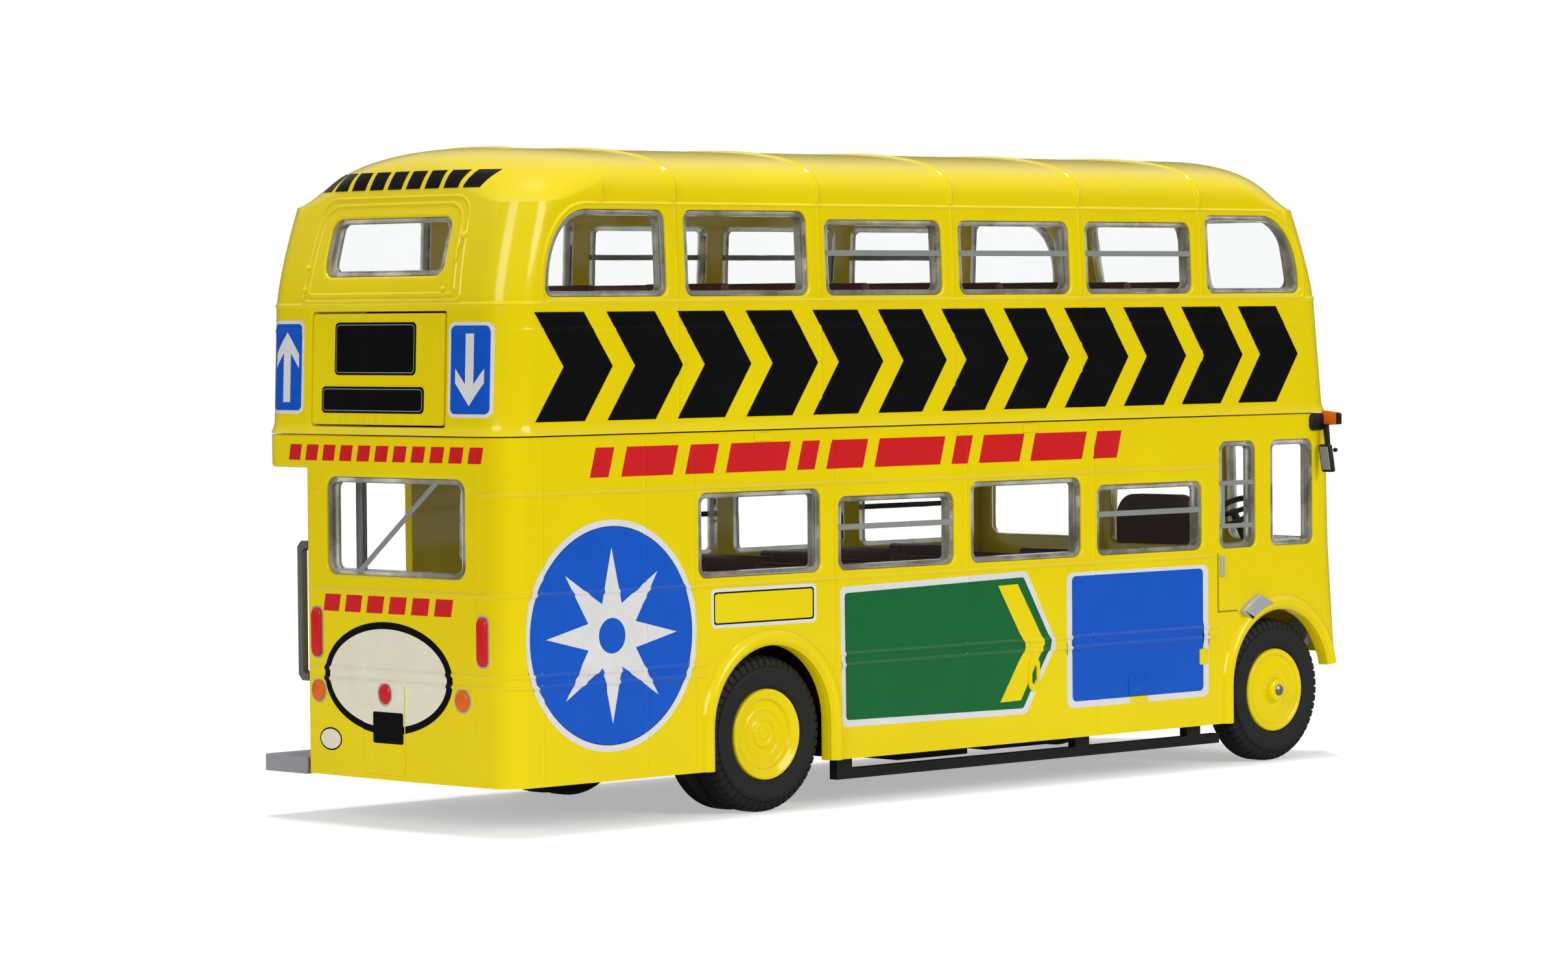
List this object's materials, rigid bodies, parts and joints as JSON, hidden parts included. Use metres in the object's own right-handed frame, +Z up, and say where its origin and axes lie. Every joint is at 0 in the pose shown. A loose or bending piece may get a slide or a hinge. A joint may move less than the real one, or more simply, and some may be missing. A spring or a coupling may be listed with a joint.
{
  "type": "die-cast model double decker bus",
  "caption": "Small die-cast model of a half-cab double decker bus with an open rear platform, clear windows, seats inside and wheels that roll.",
  "frame": {"origin": "on the ground below the middle of the model", "axes": "+X to the front of the bus, +Y to its nearside with the open platform, +Z up"},
  "size_m": [0.11, 0.0366, 0.0577],
  "materials": {
    "yellow_paint": "gloss",
    "clear_plastic": "gloss",
    "maroon_plastic": "satin",
    "black_plastic": "satin",
    "silver_paint": "satin",
    "amber_plastic": "gloss",
    "yellow_hub": "gloss",
    "black_tyre": "matt",
    "steel": "satin"
  },
  "bodies": {
    "bus": {"upper_body": "yellow_paint", "lower_body": "yellow_paint", "rear_blind_panel": "yellow_paint", "upper_glazing": "clear_plastic", "lower_glazing": "clear_plastic", "front_blind_panel": "yellow_paint", "upper_floor": "maroon_plastic", "upper_seats": "maroon_plastic", "saloon_floor": "maroon_plastic", "lower_seats": "maroon_plastic", "staircase": "maroon_plastic", "driver_seat": "maroon_plastic", "steering_wheel": "black_plastic", "rear_platform": "silver_paint", "platform_pole": "black_plastic", "platform_handrail": "black_plastic", "base_plate": "black_plastic", "guard_rail_offside": "black_plastic", "guard_rail_nearside": "black_plastic", "radiator_grille": "silver_paint", "headlamp_offside": "silver_paint", "headlamp_nearside": "silver_paint", "indicator_ear_offside": "amber_plastic", "indicator_ear_nearside": "amber_plastic", "mirror_offside": "black_plastic", "mirror_nearside": "black_plastic"},
    "front_wheels": {"front_axle": "steel", "front_hub_offside": "yellow_hub", "front_hub_nearside": "yellow_hub", "front_tyre_offside": "black_tyre", "front_tyre_nearside": "black_tyre"},
    "rear_wheels": {"rear_axle": "steel", "rear_hub_offside": "yellow_hub", "rear_hub_nearside": "yellow_hub", "rear_tyre_offside_outer": "black_tyre", "rear_tyre_offside_inner": "black_tyre", "rear_tyre_nearside_outer": "black_tyre", "rear_tyre_nearside_inner": "black_tyre"}
  },
  "joints": [
    {"name": "front_wheels_roll", "type": "hinge", "parent": "bus", "child": "front_wheels", "pos_m": [0.04362, 0, 0.0068], "axis": [0, 1, 0], "continuous": true},
    {"name": "rear_wheels_roll", "type": "hinge", "parent": "bus", "child": "rear_wheels", "pos_m": [-0.02388, 0, 0.0068], "axis": [0, 1, 0], "continuous": true}
  ]
}
